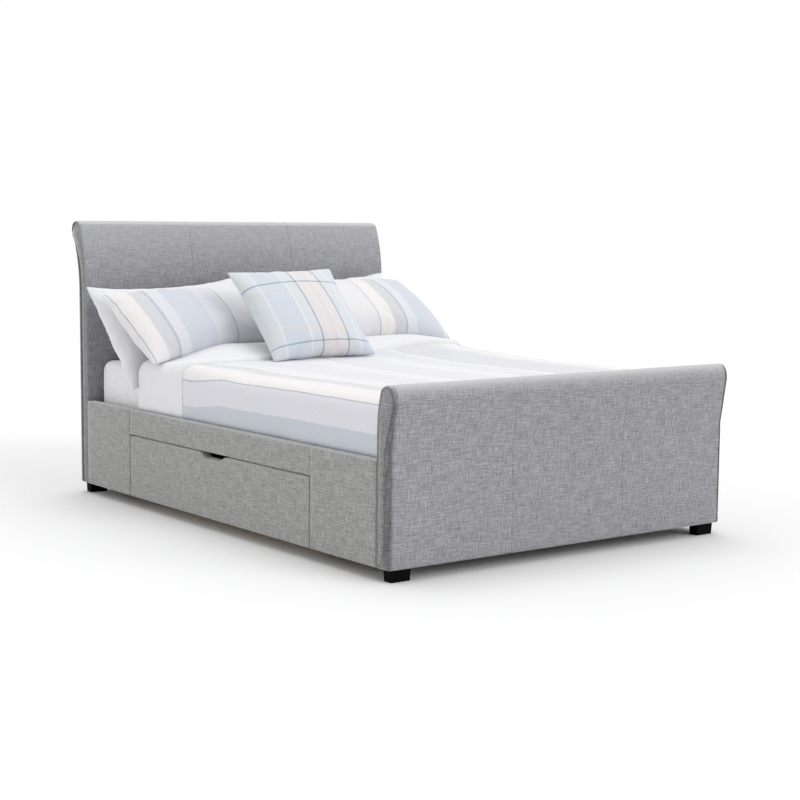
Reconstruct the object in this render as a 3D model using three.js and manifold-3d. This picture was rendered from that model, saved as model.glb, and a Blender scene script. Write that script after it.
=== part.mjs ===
// A dressed double sleigh bed with an upholstered frame and a drawer in each side rail.
// Millimetres. +Z is up, +X runs across the bed, +Y runs from the foot to the head.
// The origin is on the floor, in the middle of the bed's outline.
import * as THREE from "three";
import { mergeVertices } from "three/addons/utils/BufferGeometryUtils.js";
import { RoundedBoxGeometry } from "three/addons/geometries/RoundedBoxGeometry.js";
import Module from "manifold-3d";

const wasm = await Module();
wasm.setup();

// ---- Driving dimensions ----
const bedWidth = 1450;
const bedLength = 2173;
const groundClearance = 40; // from the floor to the underside of the boards, rails and drawer fronts
const gap = 0.3; // between two pieces that touch
const coreGap = 0.5; // between an upholstery cover and the core inside it

const boardThickness = 70;
const boardPadding = 10;
// Each sweep says how the outer face runs up into the flare: how far its curve is pulled outwards,
// and how far below the top it turns and ends, in shares of the bend.
const headboardForm = {
  height: 1085,
  flare: 53,
  lean: 46,
  bend: 255,
  roll: 36,
  sweep: { pull: 0, turn: 0.57, end: 1.12 },
};
const footboardForm = {
  height: 604,
  flare: 22,
  lean: 20,
  bend: 154,
  roll: 50,
  sweep: { pull: 0.35, turn: 1.06, end: 1.32 },
};

const railTop = 372;
const railThickness = 38;
const railPadding = 6;

const slatCount = 10;
const slatWidth = 110;
const slatThickness = 18;
const slatBottom = 312;
const ledgerSize = 30;
const beamWidth = 45;
const beamHeight = 42;

const drawerFrontWidth = 1230;
const drawerFrontTop = 272;
const drawerOpeningTop = 277;
const drawerSideClearance = 3;
const gripWidth = 175;
const gripDepth = 18;
const drawerDepth = 600;
const drawerBoxWidth = 1150;
const drawerBoxBottom = 62;
const drawerBoxTop = 240;
const drawerPanel = 15;
const drawerBaseThickness = 6;

const wheelRadius = 20;
const wheelWidth = 20;
const stubRadius = 3;
const wheelRows = [-530, -140]; // distance of each wheel row from the bed's centre line
const bearerOffset = 480;
const bearerWidth = 40;

const plateThickness = 3;
const boltRadius = 4;
const boltHeadRadius = 7;
const boltHeadHeight = 5;
const boltClearance = 0.5;

const mattressWidth = 1340;
const mattressLength = 1925;
const mattressThickness = 200;
const duvetThickness = 35;

// ---- Worked out from the driving dimensions ----
const halfWidth = bedWidth / 2;
const footFace = -bedLength / 2 + footboardForm.flare + boardThickness;
const headFace = bedLength / 2 - headboardForm.flare - boardThickness;
const span = headFace - footFace; // clear length between the two boards
const middle = (headFace + footFace) / 2;
const railInner = halfWidth - railThickness;
const slatTop = slatBottom + slatThickness;
const beamTop = slatBottom - gap;
const beamBottom = beamTop - beamHeight;
const wheelCentreHeight = wheelRadius + 0.4;

// ---- Materials ----
const paint = (color, roughness, metalness = 0) =>
  new THREE.MeshStandardMaterial({ color, roughness, metalness });
const greyLinen = paint(0xa3a3a5, 0.95);
const timber = paint(0xc7a77a, 0.7);
const blackWood = paint(0x14110f, 0.45);
const steel = paint(0x9a9ca0, 0.4, 0.9);
const blackPlastic = paint(0x1c1c1e, 0.5);
const ticking = paint(0xf2f2f0, 0.9);
const duvetCotton = paint(0xd6dde8, 0.9);
const whiteCotton = paint(0xf5f5f6, 0.9);
const stripedCotton = paint(0xdde2ec, 0.9);
const plaidCotton = paint(0xd0d9e4, 0.9);

// ---- Small helpers ----
function solidOf(geometry) {
  const bare = geometry.clone();
  bare.deleteAttribute("normal");
  bare.deleteAttribute("uv");
  const merged = mergeVertices(bare, 1e-3);
  return new wasm.Manifold(
    new wasm.Mesh({
      numProp: 3,
      vertProperties: merged.attributes.position.array,
      triVerts: new Uint32Array(merged.index.array),
    }),
  );
}

function geometryOf(solid) {
  const mesh = solid.getMesh();
  const geometry = new THREE.BufferGeometry();
  geometry.setAttribute("position", new THREE.BufferAttribute(mesh.vertProperties, 3));
  geometry.setIndex(new THREE.BufferAttribute(mesh.triVerts, 1));
  geometry.computeVertexNormals();
  return geometry;
}

function part(name, geometry, material) {
  const mesh = new THREE.Mesh(geometry, material);
  mesh.name = name;
  return mesh;
}

// A block between two corners, given as its limits along x, y and z.
function block([x0, x1], [y0, y1], [z0, z1]) {
  const geometry = new THREE.BoxGeometry(Math.abs(x1 - x0), Math.abs(y1 - y0), Math.abs(z1 - z0));
  return geometry.translate((x0 + x1) / 2, (y0 + y1) / 2, (z0 + z1) / 2);
}

const solidBlock = (x, y, z) => solidOf(block(x, y, z));
const either = (half) => [-half, half];

// A shape drawn in y and z, drawn out along x.
function drawnAlongX(shape, [x0, x1]) {
  const geometry = new THREE.ExtrudeGeometry(shape, {
    depth: x1 - x0,
    bevelEnabled: false,
    curveSegments: 6,
  });
  const alongY = new THREE.Vector3(0, 1, 0);
  const alongZ = new THREE.Vector3(0, 0, 1);
  const alongX = new THREE.Vector3(1, 0, 0);
  geometry.applyMatrix4(new THREE.Matrix4().makeBasis(alongY, alongZ, alongX));
  return geometry.translate(x0, 0, 0);
}

// A round rod between two points.
function rod(radius, start, end, sides = 10) {
  const from = new THREE.Vector3(...start);
  const to = new THREE.Vector3(...end);
  const direction = to.clone().sub(from);
  const geometry = new THREE.CylinderGeometry(radius, radius, direction.length(), sides);
  const turn = new THREE.Quaternion();
  turn.setFromUnitVectors(new THREE.Vector3(0, 1, 0), direction.clone().normalize());
  geometry.applyQuaternion(turn);
  const centre = from.add(to).multiplyScalar(0.5);
  return solidOf(geometry.translate(centre.x, centre.y, centre.z));
}

const joined = (solids) => solids.reduce((whole, next) => whole.add(next));
const without = (solid, cutters) => cutters.reduce((rest, cutter) => rest.subtract(cutter), solid);

// ---- Headboard and footboard ----
// A board's own frame has x across the bed, y outwards from the board's inner face, and z up.

// The sleigh section: straight below, then bending outwards to a rounded top.
// The inset moves the whole outline inwards, for the padding's cavity and the core inside it.
function sleighSection(form, inset, bottom) {
  const inner = inset;
  const outer = boardThickness - inset;
  const tip = boardThickness + form.flare - inset;
  const top = form.height - inset;
  const leaning = form.lean + inset;
  const crown = form.lean + 40;
  const { sweep } = form;
  const shape = new THREE.Shape();
  shape.moveTo(inner, bottom);
  shape.lineTo(inner, form.height - form.bend);
  shape.quadraticCurveTo(inner, form.height - 0.48 * form.bend, leaning, top - 14);
  shape.quadraticCurveTo(leaning + 14, top, crown, top);
  shape.bezierCurveTo(crown + 0.6 * (tip - crown), top, tip, top - form.roll / 3, tip, top - form.roll);
  shape.quadraticCurveTo(
    outer + sweep.pull * (tip - outer),
    form.height - sweep.turn * form.bend,
    outer,
    form.height - sweep.end * form.bend,
  );
  shape.lineTo(outer, bottom);
  shape.closePath();
  return shape;
}

const boltHeights = [140, 220];
const boltAcross = railInner - 25;
const boltDepth = 40;
const hangerScrewAcross = 33;
const hangerScrewHeight = 300;
const hangerScrewDepth = 30;

// Holes in a board for the four rail bolts and the two screws of the beam hanger.
function boardHoles() {
  const holes = [];
  for (const side of [-1, 1]) {
    for (const z of boltHeights) {
      const x = side * boltAcross;
      holes.push(rod(boltRadius + boltClearance, [x, -1, z], [x, boltDepth + 1, z]));
    }
    const x = side * hangerScrewAcross;
    const z = hangerScrewHeight;
    holes.push(rod(boltRadius + boltClearance, [x, -1, z], [x, hangerScrewDepth + 1, z]));
  }
  return holes;
}

function boardCover(form) {
  const outside = solidOf(
    drawnAlongX(sleighSection(form, 0, groundClearance), either(halfWidth)),
  );
  const cavity = solidOf(
    drawnAlongX(
      sleighSection(form, boardPadding, groundClearance - 5),
      either(halfWidth - boardPadding),
    ),
  );
  return geometryOf(without(outside, [cavity, ...boardHoles()]));
}

function boardCore(form) {
  const inset = boardPadding + coreGap;
  const core = solidOf(
    drawnAlongX(sleighSection(form, inset, groundClearance + 1), either(halfWidth - inset)),
  );
  return geometryOf(without(core, boardHoles()));
}

const footWidth = 75;
const footDepth = 39;
const footInset = 18.7;
const footTaper = 0.94;

// A block foot that is slightly smaller at the floor. Its top meets the underside of the core.
function blockFoot() {
  const height = groundClearance + 1 - gap;
  const geometry = new THREE.BoxGeometry(footWidth, footDepth, height);
  const position = geometry.attributes.position;
  for (let i = 0; i < position.count; i += 1) {
    if (position.getZ(i) < 0) {
      position.setX(i, position.getX(i) * footTaper);
      position.setY(i, position.getY(i) * footTaper);
    }
  }
  return geometry.translate(0, 0, height / 2);
}

// A steel stirrup on the board's inner face that carries one end of the centre beam.
function beamHanger() {
  const cheek = beamWidth / 2 + gap;
  const seatTop = beamBottom - gap;
  const seatLength = 40;
  const back = [-gap - plateThickness, -gap];
  const reach = [-gap - plateThickness - seatLength, -gap];
  const seatHeight = [seatTop - plateThickness, seatTop];
  const pieces = [
    solidBlock(either(hangerScrewAcross + 10), back, [seatTop - plateThickness, beamTop]),
    solidBlock(either(cheek + plateThickness), reach, seatHeight),
  ];
  for (const side of [-1, 1]) {
    const cheekPlate = [side * cheek, side * (cheek + plateThickness)];
    pieces.push(solidBlock(cheekPlate, reach, [seatTop - plateThickness, seatTop + 30]));
    const x = side * hangerScrewAcross;
    const z = hangerScrewHeight;
    const head = -gap - plateThickness - 2;
    pieces.push(rod(boltRadius, [x, head, z], [x, hangerScrewDepth, z]));
    pieces.push(rod(boltHeadRadius - 1, [x, head, z], [x, -gap - plateThickness / 2, z]));
  }
  return geometryOf(joined(pieces));
}

// One end of the bed: its cover, core, two feet and beam hanger.
function boardAssembly(boardName, endName, form) {
  const group = new THREE.Group();
  group.add(part(`${boardName}_cover`, boardCover(form), greyLinen));
  group.add(part(`${boardName}_frame`, boardCore(form), timber));
  group.add(part(`beam_hanger_${endName}`, beamHanger(), steel));
  const towardsLeft = endName === "head" ? -1 : 1;
  for (const sideName of ["left", "right"]) {
    const side = sideName === "left" ? towardsLeft : -towardsLeft;
    const foot = part(`foot_${endName}_${sideName}`, blockFoot(), blackWood);
    foot.position.set(side * (halfWidth - footInset - footWidth / 2), boardThickness / 2, 0);
    group.add(foot);
  }
  return group;
}

// ---- Side rails ----
// A side's own frame has its origin on the floor between the boards, and its rail at negative x.
// The right side is the left side turned half a turn about that origin.

// The rail's outline in y and z: a beam with a wide cut-out below it for the drawer.
function railSection(inset, bottom) {
  const end = span / 2 - gap - inset;
  const opening = drawerFrontWidth / 2 + drawerSideClearance + inset;
  const shape = new THREE.Shape();
  shape.moveTo(-end, bottom);
  shape.lineTo(-opening, bottom);
  shape.lineTo(-opening, drawerOpeningTop + inset);
  shape.lineTo(opening, drawerOpeningTop + inset);
  shape.lineTo(opening, bottom);
  shape.lineTo(end, bottom);
  shape.lineTo(end, railTop - inset);
  shape.lineTo(-end, railTop - inset);
  shape.closePath();
  return shape;
}

const bracketLength = 48;
const bracketWidth = 40;
const railBoltDepth = 18;
const railBoltFromEnd = 30;

// The bolts through a corner bracket's long leg, which run outwards into the rail.
function railBoltHoles() {
  const holes = [];
  for (const end of [-1, 1]) {
    const y = end * (span / 2 - railBoltFromEnd);
    for (const z of boltHeights) {
      const from = [-railInner + 1, y, z];
      const to = [-railInner - railBoltDepth - 1, y, z];
      holes.push(rod(boltRadius + boltClearance, from, to));
    }
  }
  return holes;
}

function railCover() {
  const across = [-halfWidth, -railInner];
  const cavityAcross = [-halfWidth + railPadding, -railInner - railPadding];
  const outside = solidOf(drawnAlongX(railSection(0, groundClearance), across));
  const cavity = solidOf(drawnAlongX(railSection(railPadding, groundClearance - 5), cavityAcross));
  return geometryOf(without(outside, [cavity, ...railBoltHoles()]));
}

function railBoard() {
  const inset = railPadding + coreGap;
  const across = [-halfWidth + inset, -railInner - inset];
  const core = solidOf(drawnAlongX(railSection(inset, groundClearance + 1), across));
  return geometryOf(without(core, railBoltHoles()));
}

function slatLedger() {
  const across = [-railInner + gap, -railInner + gap + ledgerSize];
  const endSpace = 60;
  return block(across, either(span / 2 - endSpace), [beamTop - ledgerSize, beamTop]);
}

// A steel angle in the corner of rail and board, with its four bolts.
function cornerBracket(end) {
  const height = [110, 250];
  const railPlate = -railInner + gap;
  const boardPlate = end * (span / 2 - gap);
  const inward = -end;
  const pieces = [
    solidBlock(
      [railPlate, railPlate + plateThickness],
      [boardPlate, boardPlate + inward * bracketLength],
      height,
    ),
    solidBlock(
      [railPlate, railPlate + bracketWidth],
      [boardPlate, boardPlate + inward * plateThickness],
      height,
    ),
  ];
  const railBoltY = end * (span / 2 - railBoltFromEnd);
  const railHead = railPlate + plateThickness + boltHeadHeight;
  const boardHead = boardPlate + inward * (plateThickness + boltHeadHeight);
  for (const z of boltHeights) {
    pieces.push(
      rod(boltRadius, [railHead, railBoltY, z], [-railInner - railBoltDepth, railBoltY, z]),
      rod(boltHeadRadius, [railHead, railBoltY, z], [railPlate + 1, railBoltY, z]),
      rod(boltRadius, [-boltAcross, boardHead, z], [-boltAcross, end * (span / 2 + boltDepth), z]),
      rod(boltHeadRadius, [-boltAcross, boardHead, z], [-boltAcross, boardPlate + inward, z]),
    );
  }
  return geometryOf(joined(pieces));
}

// ---- Drawers, in the same frame as their rail ----

// The scooped finger grip: a cutter through the front's top edge, grown outwards by a margin.
function gripCutter(margin) {
  const half = gripWidth / 2 + margin;
  const bottom = drawerFrontTop - gripDepth - margin;
  const above = drawerFrontTop + 20;
  const shape = new THREE.Shape();
  shape.moveTo(-half, above);
  shape.lineTo(-half, drawerFrontTop);
  shape.quadraticCurveTo(-0.8 * half, bottom, -0.5 * half, bottom);
  shape.lineTo(0.5 * half, bottom);
  shape.quadraticCurveTo(0.8 * half, bottom, half, drawerFrontTop);
  shape.lineTo(half, above);
  shape.closePath();
  return solidOf(drawnAlongX(shape, [-halfWidth - 10, -railInner + 10]));
}

function drawerFrontBlock(inset, backX) {
  return solidBlock(
    [-halfWidth + inset, backX],
    either(drawerFrontWidth / 2 - inset),
    [groundClearance + inset, drawerFrontTop - inset],
  );
}

function drawerFrontCover() {
  const outside = drawerFrontBlock(0, -railInner).subtract(gripCutter(0));
  const cavity = drawerFrontBlock(railPadding, -railInner + 5).subtract(gripCutter(railPadding));
  return geometryOf(outside.subtract(cavity));
}

function drawerFrontBoard() {
  const inset = railPadding + coreGap;
  return geometryOf(drawerFrontBlock(inset, -railInner).subtract(gripCutter(inset)));
}

// Two sides and a back, open towards the drawer front, above and below.
function drawerBox() {
  const boxFront = -railInner + gap;
  const boxBack = -railInner + drawerDepth;
  const outer = solidBlock(
    [boxFront, boxBack],
    either(drawerBoxWidth / 2),
    [drawerBoxBottom, drawerBoxTop],
  );
  const inner = solidBlock(
    [boxFront - 1, boxBack - drawerPanel],
    either(drawerBoxWidth / 2 - drawerPanel),
    [drawerBoxBottom - 1, drawerBoxTop + 1],
  );
  return geometryOf(outer.subtract(inner));
}

function drawerBase() {
  return block(
    [-railInner + gap, -railInner + drawerDepth - drawerPanel - gap],
    either(drawerBoxWidth / 2 - drawerPanel - gap),
    [drawerBoxBottom, drawerBoxBottom + drawerBaseThickness],
  );
}

// A timber bar under the base, slotted for two wheels and bored for their stub axles.
function drawerBearer() {
  const ends = [wheelRows[0] - 45, wheelRows[1] + 45];
  const bar = solidBlock(ends, either(bearerWidth / 2), [11, drawerBoxBottom - gap]);
  const cutters = [];
  for (const x of wheelRows) {
    const slotLength = [x - wheelRadius - 5, x + wheelRadius + 5];
    const slotHeight = [0, wheelCentreHeight + wheelRadius + 5];
    const height = wheelCentreHeight;
    cutters.push(solidBlock(slotLength, either(wheelWidth / 2 + 2.5), slotHeight));
    cutters.push(rod(stubRadius + 0.5, [x, -bearerWidth, height], [x, bearerWidth, height], 16));
  }
  return geometryOf(without(bar, cutters));
}

// A wheel with chamfered rims, turned about y, in one piece with its stub axles.
function wheel() {
  const rim = wheelWidth / 2;
  const stub = bearerWidth / 2 - 2;
  const chamfer = 3;
  const profile = [
    [0, -stub],
    [stubRadius, -stub],
    [stubRadius, -rim],
    [wheelRadius - chamfer, -rim],
    [wheelRadius, -rim + chamfer],
    [wheelRadius, rim - chamfer],
    [wheelRadius - chamfer, rim],
    [stubRadius, rim],
    [stubRadius, stub],
    [0, stub],
  ];
  return new THREE.LatheGeometry(
    profile.map(([radius, y]) => new THREE.Vector2(radius, y)),
    16,
  );
}

function drawerAssembly(sideName, endOf) {
  const group = new THREE.Group();
  group.add(part(`${sideName}_drawer_front_cover`, drawerFrontCover(), greyLinen));
  group.add(part(`${sideName}_drawer_front_board`, drawerFrontBoard(), timber));
  group.add(part(`${sideName}_drawer_box`, drawerBox(), timber));
  group.add(part(`${sideName}_drawer_base`, drawerBase(), timber));
  for (const end of [-1, 1]) {
    const bearer = part(`${sideName}_bearer_${endOf(end)}`, drawerBearer(), timber);
    bearer.position.y = end * bearerOffset;
    group.add(bearer);
    wheelRows.forEach((x, row) => {
      const rowName = ["outer", "inner"][row];
      const roller = part(`${sideName}_wheel_${rowName}_${endOf(end)}`, wheel(), blackPlastic);
      roller.position.set(x, end * bearerOffset, wheelCentreHeight);
      group.add(roller);
    });
  }
  return group;
}

// One side of the bed: the rail with its ledger and corner brackets, and the drawer in it.
function sideAssembly(sideName) {
  const turned = sideName === "right";
  const endOf = (end) => ((end > 0) !== turned ? "head" : "foot");
  const group = new THREE.Group();
  group.position.y = middle;
  group.rotation.z = turned ? Math.PI : 0;
  group.add(part(`${sideName}_rail_cover`, railCover(), greyLinen));
  group.add(part(`${sideName}_rail_board`, railBoard(), timber));
  group.add(part(`${sideName}_slat_ledger`, slatLedger(), timber));
  for (const end of [-1, 1]) {
    group.add(part(`${sideName}_bracket_${endOf(end)}`, cornerBracket(end), steel));
  }
  group.add(drawerAssembly(sideName, endOf));
  return group;
}

// ---- Mattress support ----
const legSize = 45;
const legOffset = 450;
const slatEndClearance = 3;
const slatFromBoard = 62;

function mattressSupport() {
  const group = new THREE.Group();
  group.position.y = middle;
  const beamHalf = span / 2 - 2 * gap - plateThickness;
  const beam = block(either(beamWidth / 2), either(beamHalf), [beamBottom, beamTop]);
  group.add(part("centre_beam", beam, timber));
  const legGeometry = block(either(legSize / 2), either(legSize / 2), [0, beamBottom - gap]);
  for (const [endName, y] of [["foot", -legOffset], ["head", legOffset]]) {
    const leg = part(`centre_leg_${endName}`, legGeometry, timber);
    leg.position.y = y;
    group.add(leg);
  }
  const slatLine = span / 2 - slatFromBoard;
  const slatGeometry = block(
    either(railInner - slatEndClearance),
    either(slatWidth / 2),
    [slatBottom, slatTop],
  );
  for (let i = 0; i < slatCount; i += 1) {
    const slat = part(`slat_${String(i + 1).padStart(2, "0")}`, slatGeometry, timber);
    slat.position.y = -slatLine + (2 * slatLine * i) / (slatCount - 1);
    group.add(slat);
  }
  return group;
}

// ---- Bedding ----
const mattressBottom = slatTop + 1;
const mattressTop = mattressBottom + mattressThickness;
const mattressFootEnd = footFace + 14.5;
const duvetFootEnd = footFace + 2.5;
const duvetHeadEnd = 400;
const duvetOverhang = 30; // how far the duvet stands out past the mattress on each side
const duvetTuck = 16; // the thinner stretch between mattress and rail
const beddingGap = 0.5;

function mattress() {
  const rounding = 35;
  const geometry = new RoundedBoxGeometry(
    mattressWidth,
    mattressLength,
    mattressThickness,
    3,
    rounding,
  );
  const y = mattressFootEnd + mattressLength / 2;
  return geometry.translate(0, y, mattressBottom + mattressThickness / 2);
}

// A quilt over the top and sides of the mattress, with its edges tucked inside the rails.
function duvet() {
  const halfMattress = mattressWidth / 2;
  const hem = mattressBottom + 9;
  const top = mattressTop + duvetThickness;
  const width = mattressWidth + 2 * duvetOverhang;
  const length = duvetHeadEnd - duvetFootEnd;
  const rounded = new RoundedBoxGeometry(width, length, top - hem, 3, 28);
  rounded.translate(0, (duvetHeadEnd + duvetFootEnd) / 2, (top + hem) / 2);
  const mattressSpace = solidBlock(
    either(halfMattress + beddingGap),
    [mattressFootEnd - beddingGap, duvetHeadEnd + 10],
    [hem - 10, mattressTop + beddingGap],
  );
  const cutters = [mattressSpace];
  for (const side of [-1, 1]) {
    cutters.push(
      solidBlock(
        [side * (halfMattress + duvetTuck), side * (halfMattress + duvetOverhang + 10)],
        [duvetFootEnd - 10, duvetHeadEnd + 10],
        [hem - 10, railTop + 3],
      ),
    );
  }
  return geometryOf(without(solidOf(rounded), cutters));
}

// A stuffed square: full in the middle, thin at the rim, with its sides drawn in between the corners.
function stuffedSquare({ width, height, thickness }) {
  const rim = 0.16;
  const drawnIn = 0.05;
  const geometry = new THREE.BoxGeometry(width, height, thickness, 10, 8, 1);
  const position = geometry.attributes.position;
  for (let i = 0; i < position.count; i += 1) {
    const u = position.getX(i) / (width / 2);
    const v = position.getY(i) / (height / 2);
    const fullness = rim + (1 - rim) * Math.pow((1 - u * u) * (1 - v * v), 0.42);
    position.setXYZ(
      i,
      position.getX(i) * (1 - drawnIn * (1 - v * v)),
      position.getY(i) * (1 - drawnIn * (1 - u * u)),
      position.getZ(i) * fullness,
    );
  }
  return geometry;
}

const backPillow = { width: 690, height: 410, thickness: 105, tilt: 54 };
const frontPillow = { width: 700, height: 430, thickness: 115, tilt: 33 };
const squareCushion = { width: 470, height: 440, thickness: 105, tilt: 46 };

// Lays a stuffed piece with its centre at x, y, z, leaning back by its tilt.
function leaning(name, form, [x, y, z], material) {
  const piece = part(name, stuffedSquare(form), material);
  piece.position.set(x, y, z);
  piece.rotation.x = THREE.MathUtils.degToRad(form.tilt);
  return piece;
}

function bedding() {
  const group = new THREE.Group();
  group.add(part("mattress", mattress(), ticking));
  group.add(part("duvet", duvet(), duvetCotton));
  group.add(leaning("pillow_back_left", backPillow, [-375, 805, 710], whiteCotton));
  group.add(leaning("pillow_back_right", backPillow, [325, 805, 710], whiteCotton));
  group.add(leaning("pillow_front_left", frontPillow, [-370, 612, 696], stripedCotton));
  group.add(leaning("pillow_front_right", frontPillow, [338, 612, 696], stripedCotton));
  group.add(leaning("cushion", squareCushion, [-112, 348, 742], plaidCotton));
  return group;
}

// ---- The whole bed ----
const bed = new THREE.Group();
const headboard = boardAssembly("headboard", "head", headboardForm);
headboard.position.y = headFace;
const footboard = boardAssembly("footboard", "foot", footboardForm);
footboard.position.y = footFace;
footboard.rotation.z = Math.PI;
bed.add(headboard, footboard, sideAssembly("left"), sideAssembly("right"));
bed.add(mattressSupport(), bedding());

export default bed;
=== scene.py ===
import math

import bmesh
import bpy
import numpy as np
from mathutils import Matrix, Vector, noise


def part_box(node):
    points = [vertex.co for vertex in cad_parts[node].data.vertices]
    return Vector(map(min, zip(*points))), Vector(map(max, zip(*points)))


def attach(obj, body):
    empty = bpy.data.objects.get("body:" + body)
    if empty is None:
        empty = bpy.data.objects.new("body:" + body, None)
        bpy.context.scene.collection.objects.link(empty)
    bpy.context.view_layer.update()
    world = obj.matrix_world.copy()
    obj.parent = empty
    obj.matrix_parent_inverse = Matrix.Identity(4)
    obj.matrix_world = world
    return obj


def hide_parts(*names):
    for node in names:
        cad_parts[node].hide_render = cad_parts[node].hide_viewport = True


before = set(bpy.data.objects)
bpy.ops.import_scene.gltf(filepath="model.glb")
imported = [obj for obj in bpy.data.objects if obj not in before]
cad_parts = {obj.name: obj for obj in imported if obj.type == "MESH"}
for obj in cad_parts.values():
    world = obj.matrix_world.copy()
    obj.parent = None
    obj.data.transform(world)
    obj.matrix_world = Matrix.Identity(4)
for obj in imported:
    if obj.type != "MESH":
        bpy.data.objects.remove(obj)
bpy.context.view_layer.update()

MM = 0.001
SCENE = bpy.context.scene


# ---- Camera ----

CAMERA_PLACE = Vector((-3.572, -4.917, 1.081))
CAMERA_YAW = -0.6425
CAMERA_PITCH = -0.1081
CAMERA_ROLL = 0.0076
CAMERA_LENS = 72.97


def make_camera():
    forward = Vector((
        -math.sin(CAMERA_YAW) * math.cos(CAMERA_PITCH),
        math.cos(CAMERA_YAW) * math.cos(CAMERA_PITCH),
        math.sin(CAMERA_PITCH),
    ))
    right = forward.cross(Vector((0, 0, 1))).normalized()
    up = right.cross(forward)
    across = right * math.cos(CAMERA_ROLL) + up * math.sin(CAMERA_ROLL)
    above = up * math.cos(CAMERA_ROLL) - right * math.sin(CAMERA_ROLL)
    data = bpy.data.cameras.new("camera")
    data.lens = CAMERA_LENS
    data.sensor_width = 36
    camera = bpy.data.objects.new("camera", data)
    turned = Matrix((across, above, -forward)).transposed().to_4x4()
    camera.matrix_world = Matrix.Translation(CAMERA_PLACE) @ turned
    SCENE.collection.objects.link(camera)
    SCENE.camera = camera


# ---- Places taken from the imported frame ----

def span(node, axis):
    low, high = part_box(node)
    return low[axis], high[axis]


HALF_WIDTH = span("headboard_cover", 0)[1]
UNDERSIDE = span("headboard_cover", 2)[0]
HEAD_FACE = span("headboard_cover", 1)[0]
FOOT_FACE = span("footboard_cover", 1)[1]
RAIL_TOP = span("left_rail_cover", 2)[1]
RAIL_INNER = -span("left_rail_cover", 0)[1]
MATTRESS_LOW, MATTRESS_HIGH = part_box("mattress")
BOARD_THICKNESS = 70 * MM


# ---- Mesh helpers ----

def make_object(name, points, faces, cloth=None):
    """A smooth mesh. cloth holds one (u, v) in metres for each corner of each face, in order."""
    mesh = bpy.data.meshes.new(name)
    mesh.from_pydata([tuple(p) for p in points], [], [tuple(f) for f in faces])
    mesh.shade_smooth()
    if cloth is not None:
        flat = np.zeros((len(cloth), 3), dtype=np.float32)
        flat[:, :2] = np.array(cloth)
        layer = mesh.attributes.new("cloth", "FLOAT_VECTOR", "CORNER")
        layer.data.foreach_set("vector", flat.ravel())
    mesh.update()
    piece = bpy.data.objects.new(name, mesh)
    SCENE.collection.objects.link(piece)
    return piece


def finish_piece(piece, body, material, slot, *nodes):
    """Gives a piece its material and its body, and hides the CAD nodes that it stands for; slot is not
    used.
    """
    piece.data.materials.clear()
    piece.data.materials.append(MATERIALS[material])
    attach(piece, body)
    if nodes:
        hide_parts(*nodes)


def ease(t):
    """A smooth step: 0 up to t = 0, 1 from t = 1."""
    t = np.clip(t, 0.0, 1.0)
    return t * t * (3 - 2 * t)


def hump(distance, width, height=1.0):
    """A smooth bump that fades away on both sides."""
    return height * math.exp(-((distance / width) ** 2))


def bezier(controls, steps):
    """Points along a Bezier curve, leaving out its first point."""
    points = []
    for k in range(1, steps + 1):
        t = k / steps
        level = [np.array(c, dtype=float) for c in controls]
        while len(level) > 1:
            level = [a + (b - a) * t for a, b in zip(level, level[1:])]
        points.append(level[0])
    return points


def straight(start, end, steps):
    start, end = np.array(start, dtype=float), np.array(end, dtype=float)
    return [start + (end - start) * k / steps for k in range(1, steps + 1)]


def ripple(x, y, scale, seed):
    """Smooth noise from -1 to 1 that repeats exactly on every run."""
    return noise.noise(Vector((x / scale, y / scale, seed)))


# ---- Upholstered blocks, for the rails and drawer fronts ----

def stations(low, high, radius, spacing):
    """Places along one side of a block: close together through its rounded edges."""
    edge = [radius * k for k in (0.0, 0.12, 0.32, 0.6, 1.0)]
    count = max(2, int(round((high - low - 2 * radius) / spacing)))
    between = np.linspace(low + radius, high - radius, count + 1)[1:-1]
    return np.array([low + e for e in edge] + list(between) + [high - e for e in reversed(edge)])


def padded_block(name, low, high, radii, spacing, shape=None):
    """A block with rounded edges and a dense skin. shape(points, low, high) may bend it."""
    low, high, radii = (np.array(v, dtype=float) for v in (low, high, radii))
    lines = [stations(low[a], high[a], radii[a], spacing) for a in range(3)]
    sizes = [len(line) for line in lines]
    number, points, faces, cloth_axis = {}, [], [], []

    def vertex(index):
        if index not in number:
            number[index] = len(points)
            points.append([lines[a][index[a]] for a in range(3)])
        return number[index]

    for axis in range(3):
        a, b = [(1, 2), (2, 0), (0, 1)][axis]
        for end in (0, sizes[axis] - 1):
            for i in range(sizes[a] - 1):
                for j in range(sizes[b] - 1):
                    face = []
                    for di, dj in ((0, 0), (1, 0), (1, 1), (0, 1)):
                        index = [0, 0, 0]
                        index[axis], index[a], index[b] = end, i + di, j + dj
                        face.append(vertex(tuple(index)))
                    faces.append(face if end else face[::-1])
                    cloth_axis.append(axis)
    points = np.array(points)
    inner = np.clip(points, low + radii, high - radii)
    outward = (points - inner) / radii
    length = np.maximum(np.linalg.norm(outward, axis=1, keepdims=True), 1e-9)
    rounded = inner + outward / length * radii
    flat = rounded.copy()
    if shape:
        rounded = shape(rounded, low, high)
    cloth = []
    for face, axis in zip(faces, cloth_axis):
        u, v = [(1, 2), (0, 2), (1, 0)][axis]
        cloth += [(flat[i][u], flat[i][v]) for i in face]
    return make_object(name, rounded, faces, cloth)


def crown(points, low, high, side, height):
    """Lets the foam fill out the outer face a little, most in the middle."""
    size = high - low
    u = np.clip((points[:, 1] - low[1]) / size[1], 0, 1) * 2 - 1
    v = np.clip((points[:, 2] - low[2]) / size[2], 0, 1) * 2 - 1
    fullness = (1 - u ** 8) * (1 - v ** 4)
    outer = low[0] if side < 0 else high[0]
    near = 1 - np.clip(np.abs(points[:, 0] - outer) / size[0], 0, 1)
    points[:, 0] += side * height * fullness * near
    return points


# ---- The sleigh boards ----

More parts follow.
